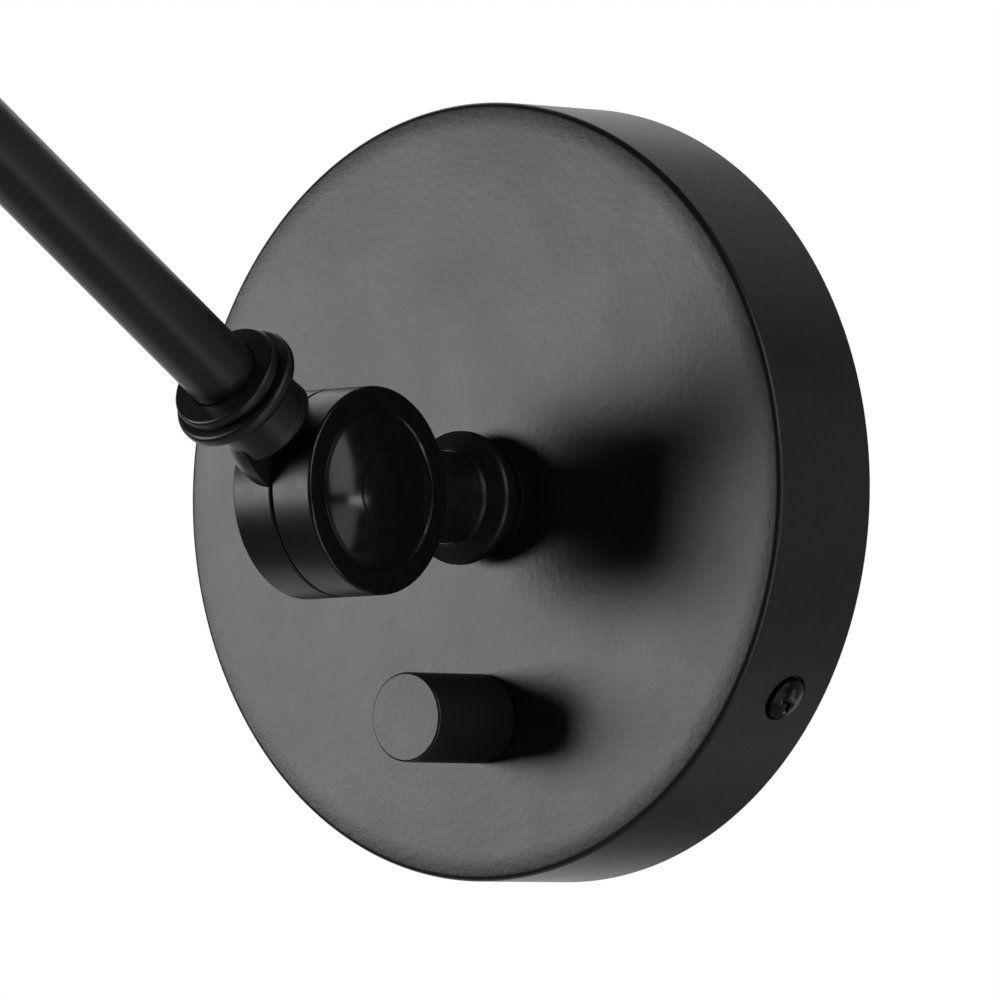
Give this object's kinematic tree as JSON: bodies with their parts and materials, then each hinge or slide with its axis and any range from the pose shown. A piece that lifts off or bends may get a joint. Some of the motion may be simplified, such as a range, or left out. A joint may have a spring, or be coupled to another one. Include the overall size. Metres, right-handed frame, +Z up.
{
  "type": "swing arm wall sconce",
  "caption": "Black wall lamp: round canopy with dimmer knob, swivelling disc pivots, a slim tube arm and a cone-shaped metal shade with a lampholder and bulb.",
  "frame": {"origin": "centre of the canopy's back rim, on the wall", "axes": "+Z up, +Y into the wall, so the lamp stands out towards -Y, and +X to the right for someone facing the wall"},
  "size_m": [0.1476, 0.3375, 0.211],
  "materials": {
    "black_powder_coat": "matte, fine powder-coat texture",
    "black_satin_paint": "semi-gloss",
    "zinc_steel": "bright zinc",
    "green_steel": "zinc, dyed green",
    "black_screw": "black oxide",
    "brass": "satin",
    "black_phenolic": "moulded, satin",
    "grey_fibre": "matte fibre washer",
    "white_nylon": "moulded",
    "orange_plastic": "moulded, satin",
    "wire_insulation": "satin",
    "frosted_glass": "frosted",
    "nickel_base": "nickel plated, satin"
  },
  "bodies": {
    "canopy": {"canopy": "black_powder_coat", "wall_bracket": "zinc_steel", "canopy_screws": "black_screw", "ground_screw": "green_steel", "swivel_washer": "black_satin_paint", "dimmer_body": "black_phenolic", "dimmer_bushing": "brass", "dimmer_terminals": "zinc_steel", "dimmer_nut": "zinc_steel", "wire_connectors": "orange_plastic", "canopy_wires": "wire_insulation"},
    "knob": {"dimmer_shaft": "zinc_steel", "dimmer_knob": "black_powder_coat"},
    "wall_swivel": {"wall_knuckle": "black_satin_paint", "wall_collar": "black_satin_paint", "wall_nipple": "brass", "wall_lock_washer": "zinc_steel", "wall_nut": "zinc_steel", "wall_wire_bushing": "white_nylon", "wall_lead": "wire_insulation", "lower_pivot_bolt": "black_screw", "lower_head_plug": "black_satin_paint", "lower_friction_washer": "grey_fibre", "lower_spring_washer": "zinc_steel", "lower_pivot_nut": "zinc_steel"},
    "arm": {"lower_knuckle": "black_satin_paint", "lower_pivot_plug": "black_satin_paint", "lower_collar": "black_satin_paint", "arm_tube": "black_powder_coat", "arm_nipples": "brass", "arm_lead": "wire_insulation", "upper_collar": "black_satin_paint", "upper_knuckle": "black_satin_paint", "upper_pivot_plug": "black_satin_paint"},
    "shade_head": {"shade_knuckle": "black_satin_paint", "shade_collar": "black_satin_paint", "shade_nipple": "brass", "shade_lock_washer": "zinc_steel", "shade_nut": "zinc_steel", "upper_pivot_bolt": "black_screw", "upper_head_plug": "black_satin_paint", "upper_friction_washer": "grey_fibre", "upper_spring_washer": "zinc_steel", "upper_pivot_nut": "zinc_steel", "socket_cup": "black_powder_coat", "lampholder": "black_phenolic", "screw_shell": "brass", "centre_contact": "brass", "socket_lead": "wire_insulation", "shade": "black_powder_coat", "shade_ring": "black_phenolic", "bulb_glass": "frosted_glass", "bulb_base": "nickel_base", "bulb_contact": "nickel_base"}
  },
  "joints": [
    {"name": "wall_swivel_turn", "type": "hinge", "parent": "canopy", "child": "wall_swivel", "pos_m": [0, 0, -0.0011], "axis": [0, -1, 0], "range_deg": [-90, 90]},
    {"name": "arm_tilt", "type": "hinge", "parent": "wall_swivel", "child": "arm", "pos_m": [0, -0.054, -0.0011], "axis": [-1, 0, 0], "range_deg": [-90, 40]},
    {"name": "shade_tilt", "type": "hinge", "parent": "arm", "child": "shade_head", "pos_m": [0, -0.26367, 0.13506], "axis": [-1, 0, 0], "range_deg": [-5, 100]},
    {"name": "dimmer_turn", "type": "hinge", "parent": "canopy", "child": "knob", "pos_m": [0, -0.03, -0.035], "axis": [0, 1, 0], "range_deg": [0, 300]}
  ]
}
